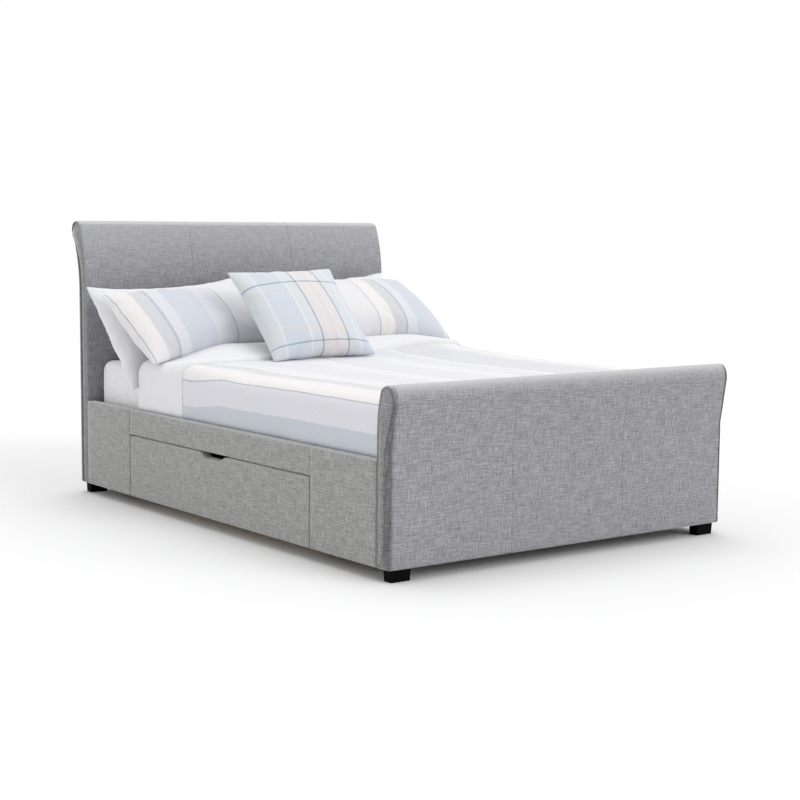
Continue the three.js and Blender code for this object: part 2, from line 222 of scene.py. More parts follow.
HEADBOARD = dict(
    node="headboard_cover", height=1085 * MM, flare=53 * MM, lean=46 * MM, bend=255 * MM,
    roll=36 * MM, sweep=(0.0, 0.57, 1.12),
)
FOOTBOARD = dict(
    node="footboard_cover", height=604 * MM, flare=22 * MM, lean=20 * MM, bend=154 * MM,
    roll=50 * MM, sweep=(0.35, 1.06, 1.32),
)
INNER_EDGE = 6 * MM
OUTER_EDGE = 9 * MM
OUTER_WRAP = 22 * MM
BOTTOM_EDGE = 10 * MM
SHOULDER = 14 * MM
CREST = 40 * MM
EDGE_SEAM = 2 * MM
# An end panel's rings as (reach inwards, height), in millimetres: the sewn groove, then the flat.
END_PANEL_ROWS = [(1, -0.5), (2.5, -6.0), (4.5, -9.0), (6.5, -8.0), (9, -4.0), (12, -1.0), (17, 0.6)]


def sleigh_outline(form, inner_inset=0.0, outer_inset=0.0):
    """The board's section as (outward, up), the CAD's shape drawn in from either face."""
    inner, outer = inner_inset, BOARD_THICKNESS - outer_inset
    tip = BOARD_THICKNESS + form["flare"] - 0.25 * outer_inset
    height, bend, roll = form["height"], form["bend"], form["roll"]
    top, bottom = height - inner_inset, UNDERSIDE + inner_inset
    leaning, crest = form["lean"] + inner_inset, form["lean"] + CREST
    pull, middle, end = form["sweep"]
    soft = max(BOTTOM_EDGE - inner_inset, 1 * MM)
    rows = int((height - bend - UNDERSIDE) / (22 * MM))
    points = [np.array((inner, bottom + soft))]
    points += straight((inner, bottom + soft), (inner, height - bend), rows)
    points += bezier(
        [(inner, height - bend), (inner, height - 0.48 * bend), (leaning, top - SHOULDER)], 16,
    )
    points += bezier([(leaning, top - SHOULDER), (leaning + SHOULDER, top), (crest, top)], 6)
    points += bezier(
        [(crest, top), (crest + 0.6 * (tip - crest), top), (tip, top - roll / 3),
         (tip, top - roll)], 10,
    )
    points += bezier(
        [(tip, top - roll), (outer + pull * (tip - outer), height - middle * bend),
         (outer, height - end * bend)], 16,
    )
    points += straight((outer, height - end * bend), (outer, bottom + soft), rows)
    points += bezier([(outer, bottom + soft), (outer, bottom), (outer - soft, bottom)], 3)
    points += straight((outer - soft, bottom), (inner + soft, bottom), 3)
    points += bezier([(inner + soft, bottom), (inner, bottom), (inner, bottom + soft)], 3)[:-1]
    return np.array(points)


def board_stations(seams):
    """Places across a board, close together at its seams."""
    limit = HALF_WIDTH - OUTER_EDGE
    places = set(np.round(np.linspace(-limit, limit, 61), 5))
    for seam in seams:
        places = {p for p in places if abs(p - seam) > 14 * MM}
        places |= {round(seam + d * MM, 5) for d in (-12, -7, -4, -2, -1, 0, 1, 2, 4, 7, 12)}
    for step in (2, 4, 6, 8, 10, 13, 17):
        places |= {round(sign * (limit - step * MM), 5) for sign in (-1, 1)}
    return sorted(places)


def edge_seam_dip(x, outwards):
    """The second seam beside each end, sunk into the outer face only."""
    distance = HALF_WIDTH - OUTER_EDGE - EDGE_SEAM - abs(x)
    return hump(distance, 2.4 * MM, 4.0 * MM) * ease(outwards / 0.6)


def outward_normals(outline):
    along = np.roll(outline, -1, axis=0) - np.roll(outline, 1, axis=0)
    normals = np.stack((-along[:, 1], along[:, 0]), axis=1)
    return normals / np.maximum(np.linalg.norm(normals, axis=1, keepdims=True), 1e-9)


def seam_dip(distance):
    """How deep a seam pulls the fabric in: a narrow groove in a wide shallow hollow."""
    return hump(distance, 2.0 * MM, 1.6 * MM) + hump(distance, 16 * MM, 0.6 * MM)


def sleigh_board(name, form, face, side):
    """Upholstery on one end of the bed: three panels that wrap over the top, and two end panels."""
    seams = [-HALF_WIDTH / 3, HALF_WIDTH / 3]
    outline = sleigh_outline(form)
    normals = outward_normals(outline)
    length = np.concatenate(([0], np.cumsum(np.linalg.norm(np.diff(outline, axis=0), axis=1))))
    count = len(outline)

    def end_rings(sign):
        made = []
        for k in range(1, 9):
            angle = k / 8 * math.pi / 2
            turn = 1 - math.cos(angle)
            x = HALF_WIDTH - OUTER_EDGE * (1 - math.sin(angle))
            made.append((sleigh_outline(form, INNER_EDGE * turn, OUTER_WRAP * turn), sign * x))
        return made

    rings = end_rings(-1)[::-1]
    for x in board_stations(seams):
        dip = sum(seam_dip(x - seam) for seam in seams)
        wander = np.array([ripple(x, s, 0.23, 3.1 * side) for s in length]) * 0.9 * MM
        sunk = dip + edge_seam_dip(x, normals[:, 0])
        rings.append((outline + normals * (wander - sunk)[:, None], x))
    rings += end_rings(1)

    points, cloth, faces, flat, strip = [], [], [], [], []
    for loop, x in rings:
        for (u, z), s in zip(loop, length):
            points.append((x, face + side * u, z))
            cloth.append((x, s))
    for r in range(len(rings) - 1):
        for k in range(count):
            k2 = (k + 1) % count
            quad = [r * count + k, r * count + k2, (r + 1) * count + k2, (r + 1) * count + k]
            values = [cloth[i] for i in quad]
            if k2 == 0:
                total = length[-1] + 0.01
                values[1] = (values[1][0], total)
                values[2] = (values[2][0], total)
            if side < 0:
                quad, values = quad[::-1], values[::-1]
            faces.append(quad)
            flat += values
            # Faces of the outer face close to each end go in strip, which gets a darker linen: painted
            # shade along the rounded corner.
            edge = min(abs(rings[r][1]), abs(rings[r + 1][1])) > HALF_WIDTH - OUTER_EDGE - 3 * MM
            if edge and normals[k][0] > 0.5:
                strip.append(len(faces) - 1)
    front_faces = len(faces)
    end_panels(form, face, side, points, faces, flat)
    piece = make_object(name, points, faces, flat)
    finish_piece(piece, "bed_frame", "linen", "grey_linen", form["node"])
    # The end panels get a darker copy of the linen: painted shade.
    piece.data.materials.append(MATERIALS["linen_shaded_end"])
    # The strip beside each outer corner gets a darker copy still: painted shade.
    piece.data.materials.append(MATERIALS["linen_shaded_strip"])
    for polygon in piece.data.polygons[front_faces:]:
        polygon.material_index = 1
    for index in strip:
        piece.data.polygons[index].material_index = 2


def end_panels(form, face, side, points, faces, cloth):
    """The narrow panel sewn into each end of a board. Its seam is deepest along the outer face."""
    outwards = outward_normals(sleigh_outline(form))[:, 0]
    depth = 0.22 + 0.78 * ease((outwards + 0.6) / 1.2)
    for sign in (-1, 1):
        first = len(points)
        for reach, lift in END_PANEL_ROWS:
            loop = sleigh_outline(form, INNER_EDGE + reach * MM, OUTER_WRAP + reach * MM)
            for (u, z), share in zip(loop, depth):
                height = lift * MM * (share if lift < 0 else 1.0)
                points.append((sign * (HALF_WIDTH + height), face + side * u, z))
        count = (len(points) - first) // len(END_PANEL_ROWS)
        made = []
        for r in range(len(END_PANEL_ROWS) - 1):
            for k in range(count):
                k2 = (k + 1) % count
                a, b = first + r * count, first + (r + 1) * count
                made.append([a + k, a + k2, b + k2, b + k])
        last = first + (len(END_PANEL_ROWS) - 1) * count
        made.append([last + k for k in range(count)])
        for quad in made:
            if (sign > 0) != (side > 0):
                quad = quad[::-1]
            faces.append(quad)
            cloth += [(points[i][1], points[i][2]) for i in quad]


# ---- Side rails and drawer fronts ----

PANEL_EDGE = np.array((6, 3.0, 5)) * MM
FRONT_EDGE = np.array((5, 3.0, 4)) * MM
BESIDE_DRAWER = 3 * MM
OVER_DRAWER = 5 * MM


def rail_panels(side_name, side):
    """A rail's cover: a panel at each end and a strip over the drawer, sewn edge to edge."""
    x0, x1 = span(f"{side_name}_rail_cover", 0)
    y0, y1 = span(f"{side_name}_rail_cover", 1)
    drawer_low, drawer_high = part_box(f"{side_name}_drawer_front_cover")
    cuts = [y0, drawer_low[1] - BESIDE_DRAWER, drawer_high[1] + BESIDE_DRAWER, y1]
    strip_bottom = drawer_high[2] + OVER_DRAWER
    for index, label in enumerate(("foot_panel", "strip", "head_panel")):
        bottom = strip_bottom if label == "strip" else UNDERSIDE
        low, high = (x0, cuts[index], bottom), (x1, cuts[index + 1], RAIL_TOP)

        def shape(points, low, high):
            points = crown(points, low, high, side, 1.2 * MM)
            for point in points:
                point[0] += side * 0.7 * MM * ripple(point[1], point[2], 0.16, 5 + index)
            return points

        piece = padded_block(f"{side_name}_rail_{label}", low, high, PANEL_EDGE, 22 * MM, shape)
        nodes = [f"{side_name}_rail_cover"] if label == "strip" else []
        finish_piece(piece, "bed_frame", "linen_side", "grey_linen", *nodes)


GRIP_WIDTH = 175 * MM
GRIP_DEPTH = 18 * MM


def grip_depth(y, centre):
    """The scoop in the drawer front's top edge, flat in the middle and easing out at both ends."""
    across = np.abs(y - centre) / (GRIP_WIDTH / 2)
    return GRIP_DEPTH * ease((1.0 - across) / 0.45)


def drawer_front(side_name, side):
    low, high = (np.array(v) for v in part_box(f"{side_name}_drawer_front_cover"))
    centre = (low[1] + high[1]) / 2

    def shape(points, low, high):
        points = crown(points, low, high, side, 1.4 * MM)
        reach = 70 * MM
        weight = ease((points[:, 2] - (high[2] - reach)) / reach)
        points[:, 2] -= grip_depth(points[:, 1], centre) * weight
        return points

    piece = padded_block(f"{side_name}_drawer_front", low, high, FRONT_EDGE, 14 * MM, shape)
    finish_piece(
        piece, f"{side_name}_drawer", "linen_side", "grey_linen", f"{side_name}_drawer_front_cover",
    )


# ---- Bedding ----

DUVET_LOW, DUVET_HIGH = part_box("duvet")
DUVET_SIDE = DUVET_HIGH[0]
DUVET_TOP = 0.557
DUVET_CORNER = 46 * MM
DUVET_FOOT_ROUND = 34 * MM
TURN_DOWN_FROM = 0.236
TURN_DOWN_TO = 0.570
UNDER_TURN_DOWN = 220 * MM
FOLD_ROUND = 22 * MM
HEM_ROUND = 18 * MM
QUARTER_TURN = np.linspace(0, math.pi / 2, 7)
MATTRESS_EDGE = np.array((32, 32, 43)) * MM
SHEET_EDGE = np.array((34, 34, 45)) * MM


def duvet_top(x, y):
    """Height of the duvet's upper face: fuller under the turn-down, drooping to the sides."""
    raised = ease((y - 0.24) / 0.17)
    full = DUVET_TOP + 0.014 * ease((y + 0.15) / 0.45) + 0.034 * raised
    full += 0.010 * ease((x - 0.1) / 0.5)
    droop = 0.010 * (abs(x) / 0.70) ** 4
    droop += raised * (0.050 * ease((-x - 0.36) / 0.34) + 0.018 * ease((x - 0.45) / 0.25))
    swell = 3.0 * MM * ripple(x, y, 0.33, 1.0) + 1.8 * MM * ripple(x + 0.4 * y, y * 0.6, 0.12, 2.0)
    fine = 1.5 * MM * ripple(x * 0.4 + 0.3 * y, y, 0.05, 4.0)
    return full - droop + swell + fine


def section(y, sign, lift, side_lift, drop):
    """Half of a section across the bed at one y: over the top on one side, down it, and inside."""
    edge = DUVET_SIDE + side_lift
    bend = edge - DUVET_CORNER
    tuck = RAIL_INNER - 3.5 * MM
    bottom = MATTRESS_LOW[2] + 12 * MM
    outer = []
    for x in np.linspace(0, bend, 34):
        outer.append((x, duvet_top(sign * x, y) + lift - drop, 0.0))
    top = duvet_top(sign * bend, y) + lift - drop
    for k in range(1, 8):
        angle = k / 7 * math.pi / 2
        fall = DUVET_CORNER * (1 - math.cos(angle))
        outer.append((bend + DUVET_CORNER * math.sin(angle), top - fall, k / 7))
    for z in np.linspace(top - DUVET_CORNER, RAIL_TOP + 6 * MM, 12)[1:]:
        outer.append((edge, z, 1.0))
    outer.append((tuck + 4 * MM, RAIL_TOP - 2 * MM, 0.4))
    outer.append((tuck, RAIL_TOP - 12 * MM, 0.0))
    outer.append((tuck, bottom, 0.0))
    return outer


def side_fold(y, z, sign, seed):
    """Shallow upright folds that grow towards the hem."""
    depth = ease((0.55 - z) / 0.15)
    wave = ripple(y, sign, 0.16, seed) * 5 + ripple(y + 0.2 * z, sign, 0.06, seed + 1) * 1.6
    return wave * MM * (0.35 + 0.65 * depth)


def quilt(name, y_places, lift, side_lift, foot_round, head_round, seed):
    """A padded layer lofted through sections along the bed, with rounded ends.

    lift and side_lift raise it off the duvet's own top and sides.
    """
    y_low, y_high = y_places[0], y_places[-1]
    inner_top = MATTRESS_HIGH[2] + 1.5 * MM
    inner_side = MATTRESS_HIGH[0] + 2 * MM
    rings, widths = [], []
    for y in y_places:
        drop = 0.0
        for radius, distance in ((foot_round, y - y_low), (head_round, y_high - y)):
            if distance < radius:
                drop += radius - math.sqrt(max(radius ** 2 - (radius - distance) ** 2, 0))
        ring, reach = [], []
        for sign in (1, -1):
            half = section(y, sign, lift, side_lift, drop)
            outer = []
            for x, z, weight in half:
                fold = side_fold(y, z, sign, seed) * weight
                outer.append((sign * (x + fold), z))
            inner = [(sign * inner_side, half[-1][1])]
            inner += [(sign * inner_side, z) for z in np.linspace(half[-1][1], inner_top, 8)[1:]]
            path = outer + inner
            across = [0.0]
            for (x0, z0), (x1, z1) in zip(path, path[1:]):
                across.append(across[-1] + math.hypot(x1 - x0, z1 - z0))
            reach.append(across)
            ring.append(path if sign > 0 else path[::-1])
        right, left = ring
        loop = right + [(0.0, inner_top)] + left[:-1]
        rings.append([(x, y, z) for x, z in loop])
        widths.append(reach)
    count = len(rings[0])
    points = [p for ring in rings for p in ring]
    along = [ring_y - y_low for ring_y in y_places]
    faces, cloth = [], []
    for r in range(len(rings) - 1):
        for k in range(count):
            k2 = (k + 1) % count
            corners = [(r, k), (r + 1, k), (r + 1, k2), (r, k2)]
            faces.append([row * count + column for row, column in corners])
            cloth += [cloth_across(widths[row], column, count, along[row]) for row, column in corners]
    for row, order in ((0, 1), (len(rings) - 1, -1)):
        cap = [row * count + k for k in range(count)][::order]
        faces.append(cap)
        cloth += [(points[i][0], points[i][2]) for i in cap]
    return make_object(name, points, faces, cloth)


def drift(across, along):
    """How far the print has slid outwards: only on the left, where the head end is pulled over."""
    on_top = 0.020 * ease((along - 0.40) / 0.40) + 0.085 * ease((along - 0.98) / 0.30)
    on_side = 0.003 + 0.036 * ease((along - 0.90) / 0.30)
    pulled = on_side + (on_top - on_side) * ease((0.70 + across) / 0.12)
    return pulled * ease((-across - 0.15) / 0.35)


def cloth_across(widths, column, count, along):
    """Distance across the cloth from the middle line, negative on the left, and along it."""
    right, left = widths
    if column < len(right):
        across = right[column]
    elif column == len(right):
        return (right[-1] + DUVET_SIDE, along)
    else:
        across = -left[count - column]
    return (across + drift(across, along), along)


def duvet():
    y_low = DUVET_LOW[1]
    places = list(y_low + DUVET_FOOT_ROUND * (1 - np.cos(QUARTER_TURN)))[:-1]
    places += list(
        np.arange(y_low + DUVET_FOOT_ROUND, TURN_DOWN_FROM + UNDER_TURN_DOWN, 14 * MM)
    )
    piece = quilt(
        "duvet_quilt", places, lift=0.0, side_lift=0.0, foot_round=DUVET_FOOT_ROUND,
        head_round=0.0, seed=7.0,
    )
    finish_piece(piece, "bedding", "duvet", "striped_duvet", "duvet")


def fold_shift(x, z):
    """How far the turn-down's front edge lies towards the head from where it starts on the left."""
    slant = 0.125 * ease((x + 0.66) / 1.7)
    return slant - hump(x - 0.12, 0.20, 0.022) + 5 * MM * ripple(x, z, 0.11, 21.0)


def turn_down():
    """The white head end of the duvet, folded back over itself in a soft thick edge."""
    step = 12 * MM
    places = list(TURN_DOWN_FROM + FOLD_ROUND * (1 - np.cos(QUARTER_TURN)))
    places += list(np.arange(places[-1] + step, TURN_DOWN_TO - HEM_ROUND, step))
    places += [
        TURN_DOWN_TO - HEM_ROUND * (1 - math.sin(a)) for a in np.linspace(0, math.pi / 2, 6)
    ]
    piece = quilt(
        "duvet_turn_down", places, lift=14 * MM, side_lift=2 * MM, foot_round=17 * MM,
        head_round=15 * MM, seed=9.0,
    )
    for vertex in piece.data.vertices:
        x, y, z = vertex.co
        share = (TURN_DOWN_TO - y) / (TURN_DOWN_TO - TURN_DOWN_FROM)
        vertex.co.y += share * fold_shift(x, z)
        on_top = ease((z - MATTRESS_HIGH[2] - 5 * MM) / (40 * MM))
        vertex.co.z += on_top * (duvet_top(x, vertex.co.y) - duvet_top(x, y))
    finish_piece(piece, "bedding", "white", "white_cotton")


def mattress():
    """The mattress in its ticking, with a fitted sheet stretched over it and gathered at the corners."""
    low, high = np.array(MATTRESS_LOW), np.array(MATTRESS_HIGH)
    core = padded_block("mattress_body", low, high, MATTRESS_EDGE, 45 * MM)
    finish_piece(core, "bedding", "ticking", "white_cotton", "mattress")

    def gathered(points, low, high):
        for point in points:
            x, y, z = point
            near = hump(min(abs(high[1] - y), 0.4), 0.12)
            down = ease((high[2] - z) / 0.15)
            pull = 1.6 * MM * ripple(x * 2 + y * 2, z * 0.35, 0.035, 12.0) * near * down
            outward = Vector((x, y - (low[1] + high[1]) / 2, 0)).normalized()
            point[0] += outward[0] * pull
            point[1] += outward[1] * pull
        return points

    grown = 2 * MM
    sheet = padded_block(
        "fitted_sheet", low - grown, high + grown, SHEET_EDGE, 30 * MM, gathered,
    )
    cut_away_below(sheet.data, low, high, 50 * MM)
    finish_piece(sheet, "bedding", "white", "white_cotton")


def cut_away_below(mesh, low, high, hem):
    """Leaves only a hem of the sheet under the mattress."""
    work = bmesh.new()
    work.from_mesh(mesh)
    cut = []
    for face in work.faces:
        x, y = face.calc_center_median()[:2]
        inside = abs(x) < high[0] - hem and low[1] + hem < y < high[1] - hem
        if inside and all(v.co.z < low[2] + 1 * MM for v in face.verts):
            cut.append(face)
    bmesh.ops.delete(work, geom=cut, context="FACES")
    work.to_mesh(mesh)
    work.free()


# ---- Pillows and cushion ----

def envelope(width, height, cells_across, cells_up):
    """Two flat layers of cloth that share their rim, as sewn, with a slight swell to start from."""
    columns, rows = cells_across + 1, cells_up + 1
    index, points = {}, []
    for layer in (1, -1):
        for j in range(rows):
            for i in range(columns):
                rim = i in (0, cells_across) or j in (0, cells_up)
                if rim and layer < 0:
                    index[layer, i, j] = index[1, i, j]
                    continue
                u, v = i / cells_across * 2 - 1, j / cells_up * 2 - 1
                index[layer, i, j] = len(points)
                swell = layer * 14 * MM * (1 - u * u) * (1 - v * v)
                points.append((u * width / 2, v * height / 2, swell))
    faces = []
    for layer in (1, -1):
        for j in range(cells_up):
            for i in range(cells_across):
                quad = [index[layer, i + di, j + dj] for di, dj in ((0, 0), (1, 0), (1, 1), (0, 1))]
                faces.append(quad if layer > 0 else quad[::-1])
    return points, faces, [point[:2] for point in points]


FILLING_FRAMES = 9
FILLING_PRESSURE = 4.0


def inflate(piece):
    """Blows the sewn envelope up with Blender's cloth, then keeps only the shape."""
    modifier = piece.modifiers.new("stuffing", "CLOTH")
    settings = modifier.settings
    settings.quality = 6
    settings.mass = 0.2
    settings.tension_stiffness = 30
    settings.compression_stiffness = 12
    settings.shear_stiffness = 8
    settings.bending_stiffness = 0.4
    settings.use_pressure = True
    settings.uniform_pressure_force = FILLING_PRESSURE
    settings.effector_weights.gravity = 0
    modifier.collision_settings.use_collision = False
    modifier.point_cache.frame_start = 1
    modifier.point_cache.frame_end = FILLING_FRAMES
    for number in range(1, FILLING_FRAMES + 1):
        SCENE.frame_set(number)
    graph = bpy.context.evaluated_depsgraph_get()
    shaped = piece.evaluated_get(graph)
    result = [v.co.copy() for v in shaped.data.vertices]
    piece.modifiers.clear()
    SCENE.frame_set(1)
    return np.array([tuple(v) for v in result])


def stuffed(name, form, material, slot, body, node):
    """A pillow or cushion: sewn flat, filled by simulation, then settled into its place."""
    width, height = form["cut"]
    points, faces, flat = envelope(width, height, *form["cells"])
    piece = make_object(name, points, faces, [flat[i] for face in faces for i in face])
    flat = np.array(flat)
    shaped = inflate(piece)
    shaped[:, :2] = (shaped[:, :2] + flat) / 2
    shaped = rounded(shaped, flat / (width / 2, height / 2))
    shaped = settle(shaped, flat / (width, height) + 0.5, form)
    shaped = wrinkle(shaped, flat, form)
    placed = Matrix.Translation(form["place"]) @ Matrix.Rotation(math.radians(form["tilt"]), 4, "X")
    for vertex, point in zip(piece.data.vertices, shaped):
        vertex.co = placed @ Vector(point)
    piece.data.update()
    smooth = piece.modifiers.new("smooth", "SUBSURF")
    smooth.levels = smooth.render_levels = 1
    finish_piece(piece, body, material, slot, node)


def rounded(points, flat):
    """Evens the filling out: fullest in the middle, as feathers settle, and thin along the rim."""
    u, v = flat[:, 0], flat[:, 1]
    dome = np.sqrt(((1 - u ** 2) * (1 - v ** 2)).clip(0, 1))
    half = points[:, 2].max()
    points[:, 2] = 0.35 * points[:, 2] + 0.65 * half * dome * np.sign(points[:, 2])
    return points


def settle(points, flat, form):
    """Draws the four corners to their places and lets the filling sink towards the lower edge."""
    thickness = points[:, 2].max() - points[:, 2].min()
    points[:, 2] *= form["thickness"] / thickness
    across, up = flat[:, 0], flat[:, 1]
    weights = [(1 - across) * (1 - up), across * (1 - up), across * up, (1 - across) * up]
    moved = points.copy()
    for weight, target in zip(weights, form["corners"]):
        corner = points[np.argmax(weight)]
        moved += weight[:, None] * (np.array((*target, 0.0)) - corner)
    for index, pull in form.get("droops", ()):
        moved += (weights[index] ** 2.5)[:, None] * np.array(pull)
    rise, reach = up * 2 - 1, across * 2 - 1
    moved[:, 0] += form.get("belly", 0.0) * reach * (1 - rise ** 2)
    moved[:, 1] -= form["waist"] * rise * (1 - reach ** 2)
    moved[:, 2] -= points[:, 2] * form["slump"] * rise
    moved[:, 2] += form["bow"] * (1 - rise ** 2)
    return moved


def wrinkle(points, flat, form):
    """Soft creases from the corners and edges into the fuller middle, and a rim that wavers."""
    width, height = form["cut"]
    seed, depth = form["seed"], form["creases"]
    for point, (u, v) in zip(points, flat):
        across, up = abs(u) / (width / 2), abs(v) / (height / 2)
        rim = max(across, up)
        strength = hump(rim - 0.74, 0.24, 4.0 * MM)
        angle = math.atan2(v, u)
        crease = noise.noise(Vector((math.cos(angle) * 6, math.sin(angle) * 6, rim * 1.6)))
        slow = noise.noise(Vector((u / 0.10, v / 0.16, seed)))
        raised = depth * (strength * crease + 4 * MM * slow * (1 - rim))
        point[2] += raised * (1 if point[2] > 0 else -1)
        waver = 10 * MM * noise.noise(Vector((v / 0.07, seed, math.copysign(3, u))))
        point[0] += waver * across ** 6 * (1 - up ** 2)
        waver = 10 * MM * noise.noise(Vector((u / 0.07, seed, math.copysign(5, v))))
        point[1] += waver * up ** 6 * (1 - across ** 2)
    return points


# Corners run from the lower left round to the upper left, as (across, up the slope). A droop is a
# corner's number and how far it sinks: across, up the slope, and out of it.
BACK_PILLOW = dict(
    cut=(0.75, 0.50), cells=(60, 40), thickness=0.15, tilt=50, slump=0.15, bow=0.006, fill=0.6,
    creases=1.9,
)
FRONT_PILLOW = dict(
    cut=(0.75, 0.50), cells=(60, 40), thickness=0.16, slump=0.12, bow=0.008, waist=0.008,
    belly=0.016, fill=0.6, creases=1.3,
)
PILLOWS = {
    "back_left": dict(
        BACK_PILLOW, place=(-0.425, 0.757, 0.672), waist=0.026, seed=1.0,
        corners=((-0.335, -0.235), (0.35, -0.235), (0.352, 0.246), (-0.352, 0.212)),
        droops=((0, (0.030, -0.065, 0.0)), (3, (0.0, -0.02, 0.02))),
    ),
    "back_right": dict(
        BACK_PILLOW, place=(0.325, 0.757, 0.676), waist=0.020, seed=2.0,
        corners=((-0.35, -0.235), (0.355, -0.235), (0.362, 0.252), (-0.35, 0.235)),
        droops=((1, (0.0, -0.05, 0.0)),),
    ),
    "front_left": dict(
        FRONT_PILLOW, place=(-0.400, 0.630, 0.708), tilt=36, seed=3.0,
        corners=((-0.345, -0.205), (0.36, -0.205), (0.36, 0.188), (-0.365, 0.178)),
        droops=((0, (0.020, -0.07, 0.01)), (3, (0.0, -0.02, 0.0))),
    ),
    "front_right": dict(
        FRONT_PILLOW, place=(0.350, 0.632, 0.716), tilt=33, seed=4.0,
        corners=((-0.36, -0.205), (0.355, -0.20), (0.345, 0.222), (-0.36, 0.213)),
        droops=((1, (0.0, -0.03, 0.01)),),
    ),
}
CUSHION = dict(
    cut=(0.50, 0.50), cells=(44, 44), thickness=0.15, tilt=46, slump=0.12, bow=0.0,
    waist=0.005, belly=-0.010, fill=0.65, place=(-0.112, 0.348, 0.742), seed=5.0, creases=1.2,
    corners=((-0.235, -0.246), (0.245, -0.236), (0.238, 0.222), (-0.252, 0.210)),
)


def pillows():
    for label, form in PILLOWS.items():
        row, side = label.split("_")
        material, slot = {
            "back": ("white", "white_cotton"), "front": (f"pillow_{side}", "striped_pillow"),
        }[row]
        stuffed(f"pillow_{label}_soft", form, material, slot, "bedding", f"pillow_{label}")
    stuffed("cushion_soft", CUSHION, "plaid", "plaid_cushion", "cushion_body", "cushion")


# ---- Materials ----

def new_material(name):
    material = bpy.data.materials.new(name)
    material.use_nodes = True
    return material, material.node_tree


def set_inputs(tree, node, inputs):
    """Sets a node's inputs: each is a value or the socket of another node."""
    for key, value in inputs.items():
        if isinstance(value, bpy.types.NodeSocket):
            tree.links.new(value, node.inputs[key])
        else:
            node.inputs[key].default_value = value


def finished(material, inputs):
    tree = material.node_tree
    set_inputs(tree, tree.nodes["Principled BSDF"], inputs)
    return material


def add(tree, kind, inputs=None, **settings):
    made = tree.nodes.new(kind)
    for key, value in settings.items():
        setattr(made, key, value)
    set_inputs(tree, made, inputs or {})
    return made


def math_node(tree, operation, a, b=0.0, c=0.0):
    return add(tree, "ShaderNodeMath", {0: a, 1: b, 2: c}, operation=operation).outputs[0]


def srgb(r, g, b):
    """A colour given as screen values from 0 to 255."""
    def linear(value):
        value /= 255
        return value / 12.92 if value <= 0.04045 else ((value + 0.055) / 1.055) ** 2.4
    return (linear(r), linear(g), linear(b), 1.0)


def grey(value):
    return (value, value, value, 1.0)


def cloth_coordinates(tree):
    return add(tree, "ShaderNodeAttribute", attribute_name="cloth").outputs["Vector"]


def object_coordinates(tree):
    return add(tree, "ShaderNodeTexCoord").outputs["Object"]


def true_normal(tree):
    return add(tree, "ShaderNodeNewGeometry").outputs["True Normal"]


def component(tree, vector, axis):
    return add(tree, "ShaderNodeSeparateXYZ", {0: vector}).outputs[axis]


def cloth_axis(tree, axis):
    """Metres along the cloth: 0 is across it, 1 is up it."""
    return component(tree, cloth_coordinates(tree), axis)


def scaled(tree, vector, factors):
    inputs = {0: vector, 1: factors}
    return add(tree, "ShaderNodeVectorMath", inputs, operation="MULTIPLY").outputs[0]


def cloudy(tree, place, scale=1.0, **inputs):
    """Noise from 0 to 1."""
    inputs.update(Vector=place, Scale=scale)
    return add(tree, "ShaderNodeTexNoise", inputs).outputs["Fac"]


def bumped(tree, height, strength, distance):
    """The surface normal, bent by a height. distance is what a height of 1 stands for."""
    inputs = {"Height": height, "Strength": strength, "Distance": distance}
    return add(tree, "ShaderNodeBump", inputs).outputs[0]


def streaks(tree, across, along, detail=2.0):
    """Noise drawn out into threads: across and along are how many features fit in a metre."""
    stretched = scaled(tree, cloth_coordinates(tree), (across, along, 1.0))
    return cloudy(tree, stretched, Detail=detail, Roughness=0.55)


def ramp(tree, value, stops, interpolation="LINEAR"):
    made = add(tree, "ShaderNodeValToRGB", {"Fac": value})
    made.color_ramp.interpolation = interpolation
    elements = made.color_ramp.elements
    while len(elements) > 1:
        elements.remove(elements[-1])
    elements[0].position, elements[0].color = stops[0]
    for position, colour in stops[1:]:
        elements.new(position).color = colour
    return made.outputs["Color"]


def weave(tree, pitch):
    """Over-and-under threads, as a height from 0 to 1."""
    turn = 2 * math.pi / pitch
    threads = [
        math_node(tree, "SINE", math_node(tree, "MULTIPLY", cloth_axis(tree, axis), turn))
        for axis in (0, 1)
    ]
    product = math_node(tree, "MULTIPLY", *threads)
    return math_node(tree, "MULTIPLY_ADD", product, 0.5, 0.5)


def linen(name, dark, mid, light, crest):
    """A heathered grey linen look: fine uneven threads both ways, pale slubs, and painted top light that
    pales it where it faces up, over the rolls.
    """
    material, tree = new_material(name)
    grain = math_node(tree, "ADD", streaks(tree, 460, 120), streaks(tree, 90, 460))
    slow = math_node(tree, "ADD", streaks(tree, 300, 26), streaks(tree, 18, 300))
    both = math_node(tree, "MULTIPLY_ADD", grain, 0.22, math_node(tree, "MULTIPLY", slow, 0.28))
    colour = ramp(tree, both, [(0.41, dark), (0.50, mid), (0.59, light)])
    slub = math_node(tree, "MAXIMUM", streaks(tree, 340, 12, 0.0), streaks(tree, 9, 340, 0.0))
    pale = ramp(tree, slub, [(0.62, grey(0.0)), (0.80, grey(0.55))])
    mixed = blend_colours(tree, pale, colour, light)
    # Painted top light: stretched grows as the true normal turns upwards and pales the colour towards
    # crest.
    upward = component(tree, true_normal(tree), 2)
    stretched = ramp(tree, upward, [(0.0, grey(0.0)), (0.8, grey(0.88))])
    fine = weave(tree, 1.6 * MM)
    height = math_node(tree, "MULTIPLY_ADD", both, 1.6, math_node(tree, "MULTIPLY", fine, 0.35))
    return finished(material, {
        "Base Color": blend_colours(tree, stretched, mixed, crest), "Roughness": 0.95,
        "Sheen Weight": 1.0, "Sheen Roughness": 0.3, "Specular IOR Level": 0.15,
        "Normal": bumped(tree, height, 0.6, 0.6 * MM),
    })


def blend_colours(tree, factor, first, second, kind="MIX"):
    inputs = {0: factor, 6: first, 7: second}
    return add(tree, "ShaderNodeMix", inputs, data_type="RGBA", blend_type=kind).outputs[2]


